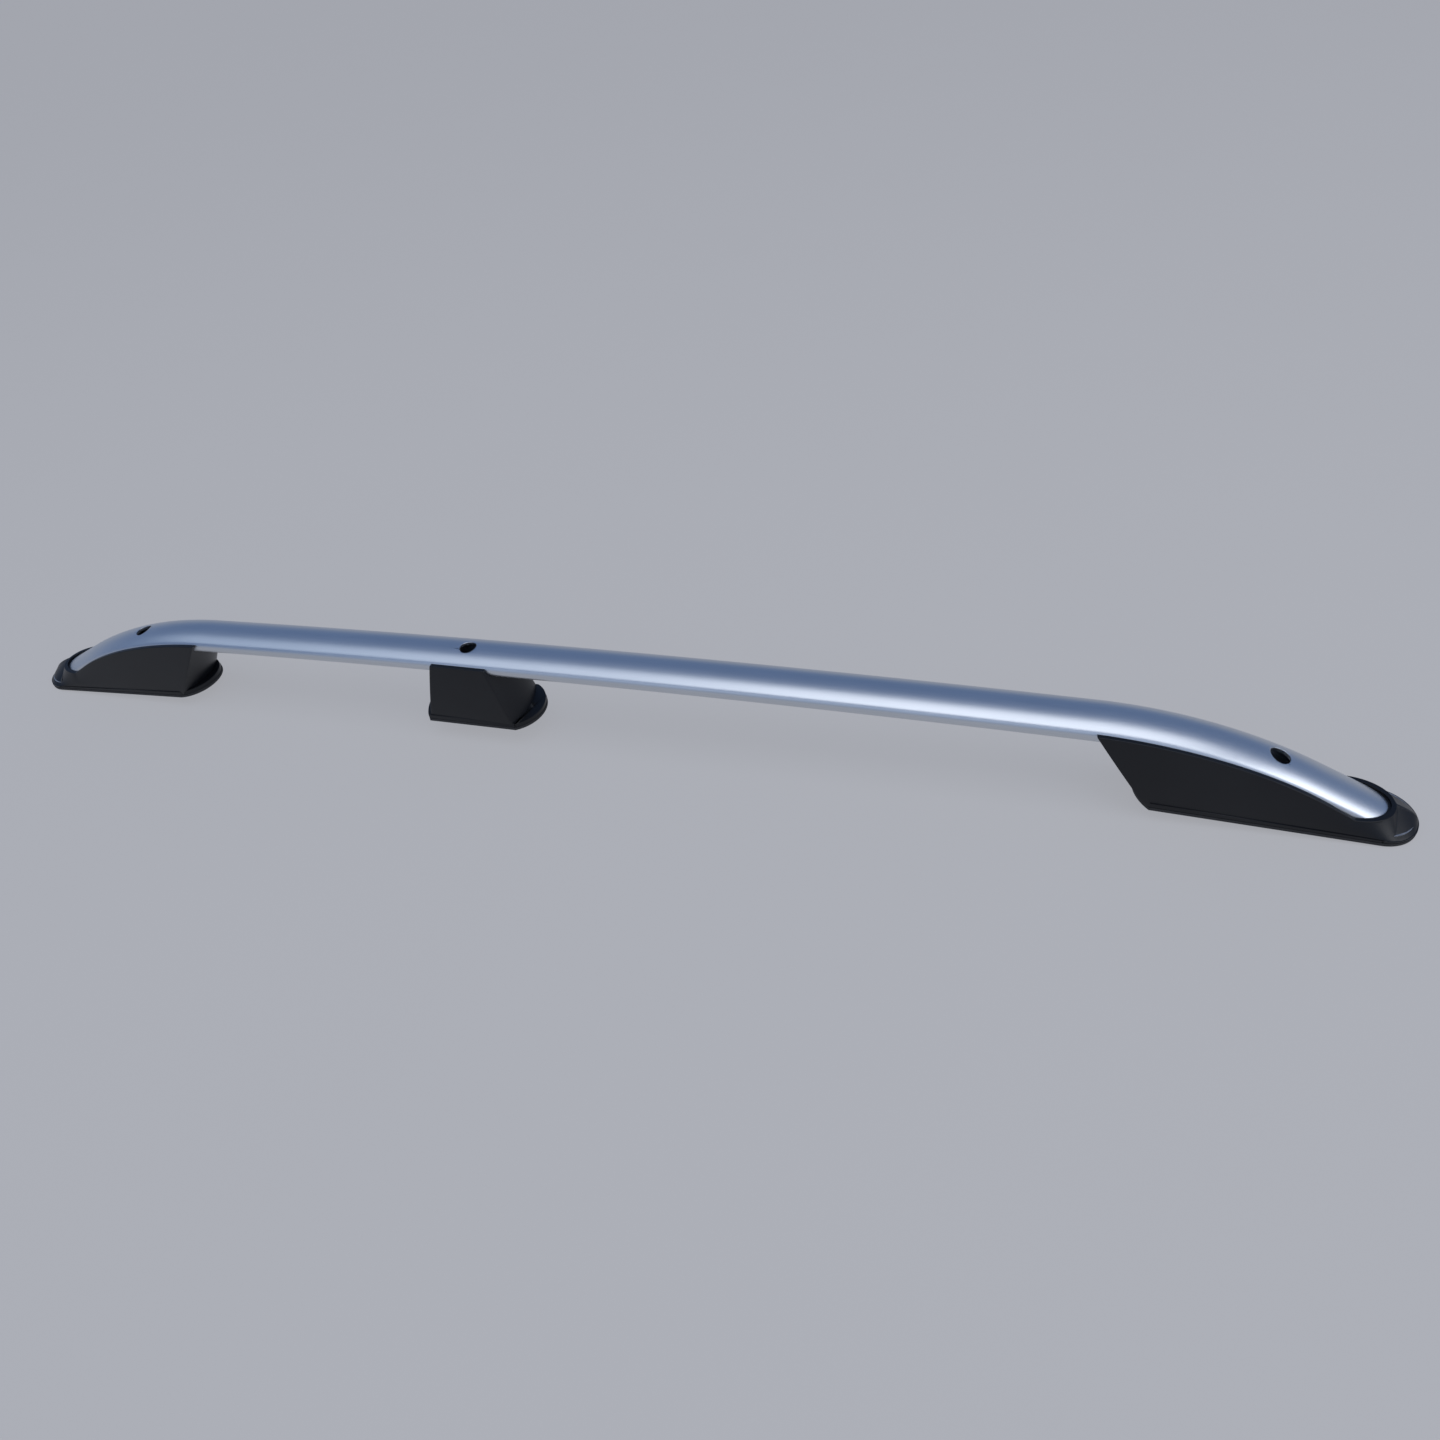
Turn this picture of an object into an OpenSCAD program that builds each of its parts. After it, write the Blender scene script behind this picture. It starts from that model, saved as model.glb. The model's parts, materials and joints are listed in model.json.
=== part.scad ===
// Longitudinal roof rail: an oval aluminium tube, arched and bent down at both ends,
// on two long end feet and one short middle foot.
// X runs along the rail, Y across it, Z up from the level of the two noses.

/* [Rail tube] */
// Outer width of the oval tube
tube_w = 48; // [46:0.5:52]
// Outer height of the oval tube
tube_h = 25; // [23:0.5:28]
// Wall of the tube
tube_wall = 3; // [2:0.25:4]
// Radius of the oval's two sides
tube_side_r = 8; // [7:0.25:9]
// Radius of the long arch along the middle
arch_r = 16300; // [14000:100:20000]
// Half the length of the arched part
arch_half = 482; // [470:1:500]
// Radius of the bends at the ends
bend_r = 441; // [420:1:460]
// Slope at which the ends run down
bend_angle = 27.2; // [25:0.2:29]
// Height of the tube's axis over the end feet's inner base line
axis_h = 79.6; // [78:0.2:84]
// Height over the base at which the tube's ends are cut off
end_cut_h = 17.3; // [16:0.1:19]
// Diameter of the access holes in the crown
access_d = 18; // [16:0.5:20]
// Diameter of the bolt holes in the tube's lower wall
floor_hole_d = 9; // [8.5:0.5:12]

/* [End feet] */
// Distance from the middle of the rail to the inner base line of an end foot
end_x = 537; // [530:1:545]
// Length of an end foot's base past that line
end_len = 221.5; // [216:0.5:232]
// Tilt of the end feet's bases, which follow the roof
base_tilt = 3.3; // [2.5:0.1:4]
// How far the base of the rear foot bulges past its end face
rear_toe = 28; // [12:1:31]
// How far the base of the front foot bulges past its end face
front_toe = 15; // [12:1:31]
// Slant of the end feet's inner end faces
end_slant = 37.3; // [34:0.5:40]
// Bolt of the rear foot, from the inner base line
rear_bolt_x = 36; // [32:0.5:48]
// Bolt of the front foot, from the inner base line
front_bolt_x = 96.5; // [90:0.5:104]

/* [Middle foot] */
// Place of the middle foot along the rail, from its middle
mid_x = -146; // [-200:1:-100]
// Height of the middle foot's base over the end feet's inner base line
mid_base_h = 9.5; // [8:0.5:12]
// Length of the middle foot's body at its base
mid_len = 103; // [98:1:110]
// Lean of the middle foot's end faces
mid_lean = 15.5; // [12:0.5:18]
// How far the middle foot's base bulges past its front end face
mid_toe = 20; // [16:1:26]
// How far the middle foot's base bulges past its rear end face
mid_heel = 10; // [8:1:14]
// Bolt of the middle foot, from the middle of that foot
mid_bolt_x = 3.3; // [-6:0.1:6]

/* [Covers] */
// Width of the feet at their base
foot_w = 66; // [64:0.5:70]
// Wall of the moulded covers
cover_wall = 3; // [2.5:0.1:3.5]
// Height of the base rim, gasket included
rim_h = 8; // [7:0.5:10]
// How far the near lips reach up past the tube's axis at the inner ends
lip_h = 4.3; // [3:0.1:5]
// How far the far lips stay under the near ones
far_drop = 5.5; // [5:0.1:7]
// How far the near lips reach up past the tube's axis at the noses
nose_lip_h = 2; // [1:0.1:3]
// Height of the collar round the tube's cut end, over the cut
collar_h = 2.5; // [1.5:0.1:3.5]
// Share of the base's bulge that the end faces over it have
face_share = 0.45; // [0.3:0.05:0.6]
// How far the base rim stands out past the body
rim_step = 0.8; // [0.4:0.1:1.2]

/* [Hardware] */
// Thickness of the rubber gaskets
gasket_t = 3; // [2:0.25:4]
// Thickness of the cast brackets' base plates
plate_t = 5; // [4.5:0.25:6]
// Thickness of the cast brackets' two side webs
web_t = 4; // [3:0.25:5]
// Outer diameter of the bolt sleeves
sleeve_d = 14; // [13:0.25:16]
// Bore of the bolt sleeves
sleeve_bore = 8.5; // [8:0.1:9]
// Outer diameter of the rubber seals round the roof bolts
seal_d = 30; // [28:0.5:34]
// Shank diameter of the screws that hold the tube
tube_screw_d = 4.8; // [4.2:0.1:5]
// Shank diameter of the screws that hold the covers
cover_screw_d = 3.8; // [3.5:0.1:4]

// Inner tube screw of an end foot, from the inner base line
screw_near = 8; // [4:0.5:10]
// Outer tube screw of an end foot, from the inner base line
screw_far = 114; // [110:0.5:118]
// Outer tube screw of the front foot, inside its bolt, from its inner base line
front_far = 62; // [58:0.5:66]
// Tube screws of the middle foot, from its middle
screw_mid = 27; // [26:0.5:29]

/* [Clearances] */
// Gap between the tube and what seats on it
seat_gap = 0.3; // [0.25:0.01:0.4]
// Gap round a bolt sleeve in its casting
sleeve_gap = 0.1; // [0.05:0.01:0.2]
// Gap round a screw's shank
screw_gap = 0.1; // [0.05:0.01:0.2]
// Gap between a bracket's plate and the cover round it
plate_gap = 0.4; // [0.3:0.05:0.6]

/* [Hidden] */

half_w = tube_w / 2;
half_h = tube_h / 2;
foot_half = foot_w / 2;
lift = end_len * sin(base_tilt);
axis_z = lift + axis_h;
arch_angle = arch_half / arch_r * 180 / PI;
// the top and bottom arcs of the oval run on into its side arcs
side_c = half_w - tube_side_r;
top_r = (side_c * side_c + half_h * half_h - tube_side_r * tube_side_r) / (2 * (half_h - tube_side_r));
top_c = top_r - half_h;
arch_x = arch_r * sin(arch_angle);
// centre of the bends
bend_cx = (arch_r - bend_r) * sin(arch_angle);
bend_cz = axis_z - arch_r + (arch_r - bend_r) * cos(arch_angle);
// where the bends end and the straight ends begin
run_x = bend_cx + bend_r * sin(bend_angle);
run_z = bend_cz + bend_r * cos(bend_angle);
end_run = 110;
// crown of the tube where the cut passes through it, along an end foot's base
tip_x = local_x(run_x + half_h * sin(bend_angle), run_z + half_h * cos(bend_angle))
    + (local_z(run_x + half_h * sin(bend_angle), run_z + half_h * cos(bend_angle)) - end_cut_h)
    / tan(bend_angle - base_tilt);
tongue_len = half_h / sin(bend_angle - base_tilt);

// a point of the side view in an end foot's own frame
function local_x(x, z) = (x - end_x) * cos(base_tilt) - (z - lift) * sin(base_tilt);
function local_z(x, z) = (x - end_x) * sin(base_tilt) + (z - lift) * cos(base_tilt);
// height of the tube's axis over a place x, and its slope there
function axis_at(x) = let (u = abs(x))
    u < arch_x ? axis_z - arch_r + sqrt(arch_r * arch_r - u * u)
    : u < run_x ? bend_cz + sqrt(bend_r * bend_r - (u - bend_cx) * (u - bend_cx))
    : run_z - (u - run_x) * tan(bend_angle);
function slope_at(x) = let (u = abs(x))
    u < arch_x ? asin(u / arch_r)
    : u < run_x ? asin((u - bend_cx) / bend_r)
    : bend_angle;
// upper edge of the lips
function lip_at(x) = axis_at(x) + (lip_h
    + (nose_lip_h - lip_h) * max(0, min(1, (abs(x) - end_x + 50) / (run_x - end_x + 50)))) / cos(slope_at(x));

// middle line of half the run from the crown: place along the rail, height and slope
arch_steps = 5;
bend_steps = 10;
half_run = concat(
    [for (k = [0 : arch_steps]) let (a = arch_angle * k / arch_steps)
        [arch_r * sin(a), axis_z - arch_r + arch_r * cos(a), a]],
    [for (k = [1 : bend_steps]) let (a = arch_angle + (bend_angle - arch_angle) * k / bend_steps)
        [bend_cx + bend_r * sin(a), bend_cz + bend_r * cos(a), a]],
    [[run_x + end_run * cos(bend_angle), run_z - end_run * sin(bend_angle), bend_angle]]);
whole_run = concat([for (k = [len(half_run) - 1 : -1 : 1]) let (p = half_run[k]) [-p[0], p[1], -p[2]]], half_run);
// the run with both its ends moved out by d
function moved(s, d) = [s[0] + d * cos(s[2]), s[1] - d * sin(s[2]), s[2]];
function longer(run, d) = [for (k = [0 : len(run) - 1])
    k == 0 ? moved(run[k], -d) : k == len(run) - 1 ? moved(run[k], d) : run[k]];
// ring of points round the oval grown by e: upper arc, one side, lower arc, other side
side_lean = atan(side_c / top_c);
function oval_ring(e) = let (r = tube_side_r + e, t = top_r + e, turn = 180 - 2 * side_lean) concat(
    [for (k = [0 : 7]) let (a = side_lean * (k / 4 - 1)) [t * cos(a) - top_c, -t * sin(a)]],
    [for (k = [0 : 6]) let (a = side_lean + turn * k / 7) [r * cos(a), -side_c - r * sin(a)]],
    [for (k = [0 : 7]) let (a = side_lean * (k / 4 - 1)) [top_c - t * cos(a), t * sin(a)]],
    [for (k = [0 : 6]) let (a = side_lean + turn * k / 7) [-r * cos(a), side_c + r * sin(a)]]);
function ring(s, e) = [for (p = oval_ring(e)) [s[0] + p[0] * sin(s[2]), p[1], s[1] + p[0] * cos(s[2])]];
// the whole run as a solid bar grown by e; one grown inwards is longer, to cut right through
module bar(e) {
    loft([for (s = longer(whole_run, -e)) ring(s, e)]);
}

// the stretch of the tube over one foot, as a solid bar grown by e
module run_over(side, e) {
    loft([for (s = whole_run) if (side == 0 ? abs(s[0] - mid_x) < 200 : side * s[0] > arch_half - 110) ring(s, e)]);
}

// frame of an end foot: its inner base line is X = 0 and its base Z = 0
module at_end(side) {
    mirror([side < 0 ? 1 : 0, 0, 0]) translate([end_x, 0, lift]) rotate([0, base_tilt, 0]) children();
}

// frame of the middle foot
module at_middle() {
    translate([mid_x, 0, lift + mid_base_h]) children();
}

module rail_tube() {
    color("silver") difference() {
        bar(0);
        bar(-tube_wall);
        for (side = [-1, 1]) at_end(side)
            translate([-60, -half_w - 10, end_cut_h - 150]) cube([end_run + 220, 2 * half_w + 20, 150]);
        for (side = [-1, 0, 1]) at_foot(side) {
            cylinder(d = floor_hole_d, h = bolt_top(side), $fn = 48);
            translate([0, 0, bolt_top(side)]) cylinder(d = access_d, h = tube_h, $fn = 64);
        }
        for (x = screw_xs) at_tube(x) translate([0, 0, -half_h - 2])
            cylinder(d = tube_screw_d + 2 * screw_gap, h = tube_wall + 4, $fn = 32);
    }
}

// a foot's bolt, side -1 rear, 0 middle, 1 front: base of the bolt at Z = 0
module at_foot(side) {
    if (side == 0) at_middle() translate([mid_bolt_x, 0, 0]) children();
    else at_end(side) translate([side < 0 ? rear_bolt_x : front_bolt_x, 0, 0]) children();
}
// height of the tube's axis over the base, along a foot's bolt
function bolt_top(side) = side == 0
    ? axis_at(mid_x + mid_bolt_x) - lift - mid_base_h
    : end_height(side < 0 ? rear_bolt_x : front_bolt_x, 6, 60, 0);
// height over an end foot's base, at x along it, of the tube's axis or of the lips
function end_height(x, n, h, lips) = n == 0 ? h
    : let (u = end_x + x * cos(base_tilt) + h * sin(base_tilt))
    end_height(x, n - 1, ((lips ? lip_at(u) : axis_at(u)) - lift + x * sin(base_tilt)) / cos(base_tilt), lips);

// the tube's own frame at a place x along the rail, with Z square to its run
module at_tube(x) {
    translate([x, 0, axis_at(x)]) rotate([0, sign(x) * slope_at(x), 0]) children();
}
screw_xs = [-end_x - screw_far, -end_x - screw_near, mid_x - screw_mid, mid_x + screw_mid,
    end_x + screw_near, end_x + front_far];

// outline of a base rim, grown by g: straight sides, a round nose and a bulging toe
module end_plan(toe, g) {
    half = foot_half + g;
    arc_r = (half * half + (toe + g) * (toe + g)) / (2 * (toe + g));
    translate([2, -half]) square([end_len - foot_half - 2, 2 * half]);
    translate([end_len - foot_half, 0]) circle(r = half, $fn = 96);
    intersection() {
        translate([arc_r - toe - g, 0]) circle(r = arc_r, $fn = 96);
        translate([-50, -half]) square([60, 2 * half]);
    }
}
module mid_plan(g) {
    half = foot_half + g;
    square([mid_len - 4, 2 * half], center = true);
    for (s = [0, 1]) mirror([s, 0]) mid_end((s == 0 ? mid_toe : mid_heel) + g, half, mid_len / 2);
}
// bulging end of the middle foot's plan
module mid_end(toe, half, from) {
    arc_r = (half * half + toe * toe) / (2 * toe);
    intersection() {
        translate([from + toe - arc_r, 0]) circle(r = arc_r, $fn = 96);
        translate([from - 10, -half]) square([60, 2 * half]);
    }
}
module foot_plan(side, g) {
    if (side == 0) mid_plan(g);
    else end_plan(side < 0 ? rear_toe : front_toe, g);
}
module at_base(side) {
    if (side == 0) at_middle() children();
    else at_end(side) children();
}

// half section of an end foot's body at x, as [y, z] points from the base up to the lip
body_half = foot_half - rim_step;
lip_half = half_w + seat_gap + cover_wall;
flank_x = tip_x - tongue_len;
floor_x = tip_x - 2 * tongue_len;
collar_x = tip_x + cover_wall + 1;
collar_top = end_cut_h + collar_h;
nose_c = end_len - foot_half;
nose_x = nose_c + body_half;
function top_h(x, drop) = x < collar_x ? max(end_height(x, 6, 60, 1) - drop, collar_top)
    : rim_h + (collar_top - rim_h) * sqrt(max(0, 1 - pow((x - collar_x) / (nose_x - collar_x), 2)));
function base_y(x) = x < nose_c ? body_half : sqrt(max(0, body_half * body_half - pow(x - nose_c, 2)));
function top_y(x) = x < flank_x ? lip_half
    : x < collar_x ? lip_half * sqrt(max(0, 1 - pow((x - flank_x) / (collar_x - flank_x), 2))) : 0;
steps = 7;
function side_points(x, drop) = let (
        yb = max(1.2, base_y(x)), yt = max(0.6, top_y(x)), zt = max(rim_h + 0.4, top_h(x, drop)))
    [for (k = [0 : steps]) let (t = k / steps) [yb - (yb - yt) * pow(t, 1.4), rim_h + (zt - rim_h) * t]];
function section(x) = let (near = side_points(x, 0), far = side_points(x, far_drop), n = len(near) - 1) concat(
    [[x, -near[0][0], gasket_t], [x, far[0][0], gasket_t]],
    [for (k = [0 : n]) [x, far[k][0], far[k][1]]],
    [for (k = [0 : n]) [x, -near[n - k][0], near[n - k][1]]]);
// inside of the same body: open below, up to the tube's axis or to the nose's floor
function core_section(x, ceiling) = let (
        yb = base_y(x) - cover_wall, zt = top_h(x, 0), z = min(ceiling, zt - cover_wall),
        t = max(0, (z - rim_h) / (zt - rim_h)),
        yt = yb - (yb - top_y(x) + cover_wall) * pow(t, 1.4)) [
    [x, -yb, -1], [x, yb, -1], [x, yb, rim_h], [x, (yb + yt) / 2 + 0.3, (rim_h + z) / 2], [x, yt, z],
    [x, -yt, z], [x, -(yb + yt) / 2 - 0.3, (rim_h + z) / 2], [x, -yb, rim_h]];

// solid through a row of sections with as many points each
module loft(rows) {
    n = len(rows[0]);
    last = len(rows) - 1;
    polyhedron(points = [for (r = rows) for (p = r) p], faces = concat(
        [[for (k = [0 : n - 1]) k]], [[for (k = [0 : n - 1]) last * n + n - 1 - k]],
        [for (i = [0 : last - 1]) for (k = [0 : n - 1]) [i * n + k, (i + 1) * n + k, i * n + (k + 1) % n]],
        [for (i = [0 : last - 1]) for (k = [0 : n - 1])
            [(i + 1) * n + k, (i + 1) * n + (k + 1) % n, i * n + (k + 1) % n]]));
}
face_x = -(axis_h + lip_h) * tan(end_slant) - 6;
// the hollow inside a cover stops this far under the tube's axis
core_drop = 4;
stations = concat([for (k = [0 : 15]) face_x + (flank_x - face_x) * k / 15],
    [for (k = [1 : 12]) flank_x + (nose_x - flank_x) * sin(90 * k / 12)]);
core_stations = [for (k = [0 : 10]) face_x + (floor_x - 2 - face_x) * k / 10];
nose_stations = concat([floor_x - 3, flank_x],
    [for (k = [1 : 6]) flank_x + (nose_x - cover_wall - flank_x) * sin(80 * k / 6)]);

// everything in front of an end face, moved in by d: a straight slanted top edge that runs out onto the toe
module past_face(side, d) {
    toe = (side < 0 ? rear_toe : front_toe) * face_share - d / 3;
    half = body_half - d + 0.5;
    arc_r = (half * half + toe * toe) / (2 * toe);
    foot = d / cos(end_slant);
    high = axis_h + 20;
    hull() {
        translate([0, 0, -2]) linear_extrude(height = 2) intersection() {
            translate([foot + arc_r - toe, 0]) circle(r = arc_r, $fn = 96);
            translate([foot - 50, -half]) square([70, 2 * half]);
        }
        translate([foot, -half, -2]) cube([end_len + 20, 2 * half, 2]);
        translate([foot - high * tan(end_slant), -half, high]) cube([end_len + 20 + high * tan(end_slant), 2 * half, 2]);
    }
}

module end_cover(side) {
    difference() {
        union() {
            at_end(side) {
                intersection() {
                    loft([for (x = stations) section(x)]);
                    past_face(side, 0);
                }
                translate([0, 0, gasket_t]) linear_extrude(height = rim_h - gasket_t) foot_plan(side, 0);
            }
        }
        at_end(side) {
            difference() {
                intersection() {
                    union() {
                        loft([for (x = core_stations) core_section(x, end_height(x, 6, 60, 0) - core_drop)]);
                        loft([for (x = nose_stations) core_section(x, end_cut_h - seat_gap - cover_wall)]);
                    }
                    past_face(side, cover_wall);
                }
                for (p = cover_screws(side)) translate([p[0], p[1], rim_h]) cylinder(r = boss_r, h = 12, $fn = 32);
            }
            translate([0, 0, end_cut_h + 0.9]) linear_extrude(height = 12) polygon(
                [for (k = [-12 : 12]) [flank_x - 8 + (tongue_len + 8.8) * cos(7.5 * k), (half_w + 0.9) * sin(7.5 * k)]]);
            for (p = cover_screws(side)) translate([p[0], p[1], 0])
                cylinder(d = cover_screw_d + 2 * screw_gap, h = screw_end + 0.5, $fn = 32);
        }
        difference() {
            run_over(side, seat_gap);
            at_end(side) translate([0, -60, end_cut_h - seat_gap - 100]) cube([end_run + 220, 120, 100]);
        }
    }
}

// the middle foot's body: end faces that run out onto the base's bulges, met by an end view
module mid_body(in, top, far_top) {
    base = mid_len / 2 - in / cos(mid_lean);
    half = body_half - in + 0.5;
    high = mid_axis + 20;
    intersection() {
        hull() {
            for (s = [0, 1]) mirror([s, 0, 0]) translate([0, 0, -2]) linear_extrude(height = 2)
                mid_end((s == 0 ? mid_toe : mid_heel) * face_share - in / 3, half, base);
            translate([high * tan(mid_lean) - base, -half, high]) cube([2 * (base - high * tan(mid_lean)), 2 * half, 2]);
        }
        rotate([90, 0, 90]) linear_extrude(height = 200, center = true)
            polygon(concat([[-body_half + in, in > 0 ? -1 : gasket_t], [body_half - in, in > 0 ? -1 : gasket_t]],
                [for (k = [0 : 8]) [body_half - in - (body_half - lip_half) * pow(k / 8, 1.4),
                    rim_h + (far_top - rim_h) * k / 8]],
                [for (k = [0 : 8]) [-(body_half - in - (body_half - lip_half) * pow(1 - k / 8, 1.4)),
                    rim_h + (top - rim_h) * (1 - k / 8)]]));
    }
}
mid_axis = axis_at(mid_x) - lift - mid_base_h;
module mid_cover() {
    difference() {
        at_middle() union() {
            mid_body(0, mid_axis + lip_h, mid_axis + lip_h - far_drop);
            translate([0, 0, gasket_t]) linear_extrude(height = rim_h - gasket_t) mid_plan(0);
        }
        at_middle() difference() {
            mid_body(cover_wall, mid_axis - core_drop, mid_axis - core_drop);
            for (p = cover_screws(0)) translate([p[0], p[1], rim_h]) cylinder(r = boss_r, h = 12, $fn = 32);
        }
        at_middle() for (p = cover_screws(0)) translate([p[0], p[1], 0])
            cylinder(d = cover_screw_d + 2 * screw_gap, h = screw_end + 0.5, $fn = 32);
        run_over(0, seat_gap);
    }
}

// screws that hold a cover to its bracket, in the foot's own frame
boss_r = 6.2;
screw_end = 13.5;
head_h = 2.4;
function cover_screws(side) = side == 0
    ? [for (x = [-1, 1]) for (y = [-1, 1]) [x * (mid_len / 2 - 13.5), y * (foot_half - 9)]]
    : [for (x = [22, end_len - foot_half - 23]) for (y = [-1, 1]) [x, y * (foot_half - 9)]];
module cover_screw_set(side) {
    color("dimgray") at_base(side) for (p = cover_screws(side)) translate([p[0], p[1], 0]) difference() {
        union() {
            translate([0, 0, gasket_t]) cylinder(d = 2 * cover_screw_d, h = head_h, $fn = 32);
            translate([0, 0, gasket_t]) cylinder(d = cover_screw_d, h = screw_end - gasket_t, $fn = 32);
        }
        translate([0, 0, gasket_t - 1]) cylinder(d = 3.4, h = 2.4, $fn = 6);
    }
}

// screws that hold the tube on its brackets, from below
saddle_t = 5;
seat_drop = half_h + seat_gap + saddle_t + 1.2;
tube_head_h = 3;
module tube_screw_set(xs) {
    color("silver") for (x = xs) at_tube(x) difference() {
        union() {
            translate([0, 0, -seat_drop]) cylinder(d = tube_screw_d, h = seat_drop - half_h + tube_wall + 3, $fn = 32);
            translate([0, 0, -seat_drop - tube_head_h]) cylinder(d = 1.8 * tube_screw_d, h = tube_head_h, $fn = 6);
        }
    }
}

// cast bracket under the tube: base plate, two webs, a saddle for the tube and a boss for the sleeve
module bracket_form(side) {
    xs = side == 0 ? [mid_x - screw_mid, mid_x + screw_mid]
        : [side * (end_x + screw_near), side * (end_x + (side < 0 ? screw_far : front_far))];
    difference() {
        union() {
            at_base(side) translate([0, 0, gasket_t]) linear_extrude(height = plate_t) plate_plan(side);
            side_view(side) for (s = [-1, 1]) translate([0, 0, s * web_c])
                linear_extrude(height = web_t, center = true) web_view(side);
            side_view(side) linear_extrude(height = 2 * saddle_half, center = true) saddle_view(side);
            at_foot(side) translate([0, 0, gasket_t + 1])
                cylinder(r = sleeve_d / 2 + 4.5, h = bolt_top(side) - gasket_t - 1, $fn = 48);
            for (x = xs) at_tube(x) translate([0, 0, -seat_drop]) cylinder(r = 6.5, h = saddle_t, $fn = 32);
        }
        run_over(side, seat_gap);
        at_foot(side) translate([0, 0, -1])
            cylinder(d = sleeve_d + 2 * sleeve_gap, h = bolt_top(side) + 2, $fn = 48);
        for (x = xs) at_tube(x) {
            translate([0, 0, -half_h - 30]) cylinder(d = tube_screw_d + 2 * screw_gap, h = 30, $fn = 32);
            translate([0, 0, -120]) cylinder(r = 6, h = 120 - seat_drop, $fn = 32);
        }
        at_base(side) for (p = cover_screws(side)) translate([p[0], p[1], 0]) {
            cylinder(d = cover_screw_d + 2 * screw_gap, h = 20, $fn = 32);
            cylinder(d = 2 * cover_screw_d + 2 * screw_gap, h = gasket_t + head_h, $fn = 32);
        }
    }
}
web_c = 13;
saddle_half = 17;
plate_half = body_half - cover_wall - plate_gap;
module plate_plan(side) {
    if (side == 0)
        square([mid_len - 2 * (cover_wall / cos(mid_lean) + plate_gap + 2), 2 * plate_half], center = true);
    else {
        translate([cover_wall / cos(end_slant) + plate_gap, -plate_half])
            square([nose_c - cover_wall / cos(end_slant) - plate_gap, 2 * plate_half]);
        translate([nose_c, 0]) circle(r = plate_half, $fn = 96);
    }
}
// side view of the rail, with the rear foot's mirrored
module side_view(side) {
    mirror([side < 0 ? 1 : 0, 0, 0]) rotate([90, 0, 0]) children();
}
// a point of an end foot's frame in the side view of the rail
function rail_point(x, h) = [end_x + x * cos(base_tilt) + h * sin(base_tilt), lift - x * sin(base_tilt) + h * cos(base_tilt)];
function under(u, d) = [u, axis_at(u) - (half_h + d) / cos(slope_at(u))];
saddle_from = rail_point(-0.6 * axis_h + 12, 0)[0];
saddle_to = rail_point(floor_x - 8, 0)[0];
function places(side) = side == 0 ? [mid_x - mid_len / 2 + 20, mid_x + mid_len / 2 - 20] : [saddle_from, saddle_to];
module saddle_view(side) {
    a = places(side)[0];
    b = places(side)[1];
    polygon(concat([for (k = [0 : 12]) under(a + (b - a) * k / 12, seat_gap + saddle_t)],
        [for (k = [0 : 12]) under(b - (b - a) * k / 12, -8)]));
}
module web_view(side) {
    a = places(side)[0];
    b = places(side)[1];
    foot_level = gasket_t + plate_t - 1;
    polygon(concat([for (k = [0 : 12]) under(a + (b - a) * k / 12, seat_gap + 1)],
        side == 0
        ? [[mid_x + mid_len / 2 - 12, lift + mid_base_h + foot_level], [mid_x - mid_len / 2 + 12, lift + mid_base_h + foot_level]]
        : [rail_point(floor_x + 4, foot_level), rail_point(8, foot_level)]));
}

module sleeve(side) {
    color("lightsteelblue") difference() {
        at_foot(side) cylinder(d = sleeve_d, h = bolt_top(side), $fn = 48);
        run_over(side, seat_gap);
        at_foot(side) translate([0, 0, -1]) cylinder(d = sleeve_bore, h = bolt_top(side) + 2, $fn = 48);
    }
}
module seal(side) {
    color("black") at_foot(side) difference() {
        cylinder(d = seal_d, h = gasket_t, $fn = 64);
        translate([0, 0, -1]) cylinder(d = sleeve_d, h = gasket_t + 2, $fn = 48);
    }
}
module gasket(side) {
    color("black") difference() {
        at_base(side) linear_extrude(height = gasket_t) foot_plan(side, 0.4);
        at_foot(side) translate([0, 0, -1]) cylinder(d = seal_d, h = gasket_t + 2, $fn = 64);
    }
}

module rear_cover() { color("dimgray") end_cover(-1); }
module rear_bracket() { color("gray") bracket_form(-1); }
module rear_sleeve() { sleeve(-1); }
module rear_seal() { seal(-1); }
module rear_gasket() { gasket(-1); }
module rear_tube_screws() { tube_screw_set([screw_xs[0], screw_xs[1]]); }
module rear_cover_screws() { cover_screw_set(-1); }

module middle_cover() { color("dimgray") mid_cover(); }
module middle_bracket() { color("gray") bracket_form(0); }
module middle_sleeve() { sleeve(0); }
module middle_seal() { seal(0); }
module middle_gasket() { gasket(0); }
module middle_tube_screws() { tube_screw_set([screw_xs[2], screw_xs[3]]); }
module middle_cover_screws() { cover_screw_set(0); }

module front_cover() { color("dimgray") end_cover(1); }
module front_bracket() { color("gray") bracket_form(1); }
module front_sleeve() { sleeve(1); }
module front_seal() { seal(1); }
module front_gasket() { gasket(1); }
module front_tube_screws() { tube_screw_set([screw_xs[4], screw_xs[5]]); }
module front_cover_screws() { cover_screw_set(1); }

rail_tube();
rear_cover();
rear_bracket();
rear_sleeve();
rear_seal();
rear_gasket();
rear_tube_screws();
rear_cover_screws();
middle_cover();
middle_bracket();
middle_sleeve();
middle_seal();
middle_gasket();
middle_tube_screws();
middle_cover_screws();
front_cover();
front_bracket();
front_sleeve();
front_seal();
front_gasket();
front_tube_screws();
front_cover_screws();
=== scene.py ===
import bpy
import json
from math import radians, sin, cos, tan, asin, atan2, sqrt, pi
from mathutils import Vector, Matrix


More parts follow.
